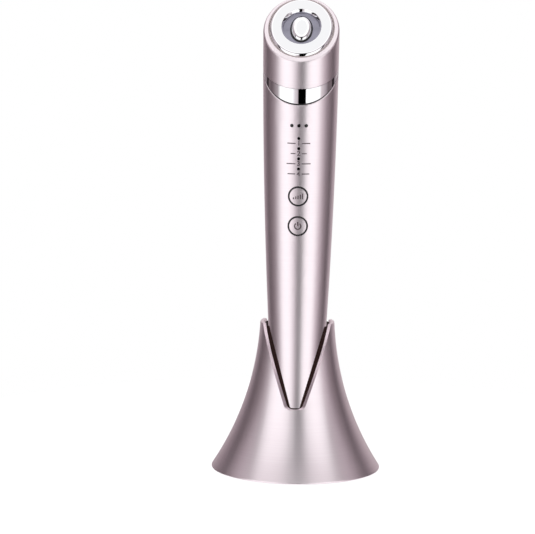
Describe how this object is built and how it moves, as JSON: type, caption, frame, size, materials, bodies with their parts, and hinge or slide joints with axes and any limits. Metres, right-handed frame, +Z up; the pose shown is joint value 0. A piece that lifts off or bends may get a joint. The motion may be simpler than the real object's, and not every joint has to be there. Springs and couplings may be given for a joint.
{
  "type": "radio frequency beauty machine",
  "caption": "Slender conical wand with a slanted electrode head, standing in a flared notched stand. It lifts out, and its round buttons press in.",
  "frame": {"origin": "on the table, on the common axis of stand and wand", "axes": "+Z up along the wand, -Y towards the user, where the buttons and the slanted face are, +X to the right"},
  "size_m": [0.0596, 0.0596, 0.1667],
  "materials": {
    "satin_metal": "satin anodised, champagne pink",
    "chrome": "polished plating",
    "grey_dish": "satin grey moulding",
    "black_plastic": "moulded",
    "light_guide": "smoked, polished ends",
    "led_package": "moulded",
    "foot_rubber": "matt",
    "seal_rubber": "matt",
    "steel": "zinc plated",
    "circuit_board": "solder mask",
    "battery_can": "printed film sleeve",
    "ferrite": "sintered",
    "wire_insulation": "extruded"
  },
  "bodies": {
    "stand": {"stand_shell": "satin_metal", "stand_liner": "black_plastic", "stand_cradle": "black_plastic", "stand_ballast": "steel", "stand_base_plate": "black_plastic", "stand_foot_ring": "foot_rubber", "stand_screws": "steel"},
    "wand": {"handle_shell": "satin_metal", "tail_cap": "black_plastic", "charge_socket": "steel", "charge_board": "circuit_board", "collar_wedge": "chrome", "head_shell": "satin_metal", "electrode_carrier": "grey_dish", "outer_electrode": "chrome", "electrode_seal": "seal_rubber", "centre_electrode": "chrome", "electrode_nut": "steel", "carrier_screws": "steel", "button_guide": "black_plastic", "level_light_guide": "light_guide", "mode_light_guide": "light_guide", "main_board": "circuit_board", "leds": "led_package", "level_switch": "black_plastic", "power_switch": "black_plastic", "inner_chassis": "black_plastic", "battery_cell": "battery_can", "battery_leads": "wire_insulation", "rf_board": "circuit_board", "rf_transformer": "ferrite", "electrode_leads": "wire_insulation", "chassis_screws": "steel"},
    "level_button": {"level_button_cap": "satin_metal", "level_switch_plunger": "black_plastic"},
    "power_button": {"power_button_cap": "satin_metal", "power_switch_plunger": "black_plastic"}
  },
  "joints": [
    {"name": "wand_lift", "type": "slide", "parent": "stand", "child": "wand", "axis": [0, 0, 1], "range_m": [0, 0.06]},
    {"name": "level_press", "type": "slide", "parent": "wand", "child": "level_button", "axis": [0, 1, 0], "range_m": [0, 0.0004], "stiffness_N_per_m": 2000},
    {"name": "power_press", "type": "slide", "parent": "wand", "child": "power_button", "axis": [0, 1, 0], "range_m": [0, 0.0004], "stiffness_N_per_m": 2000}
  ]
}
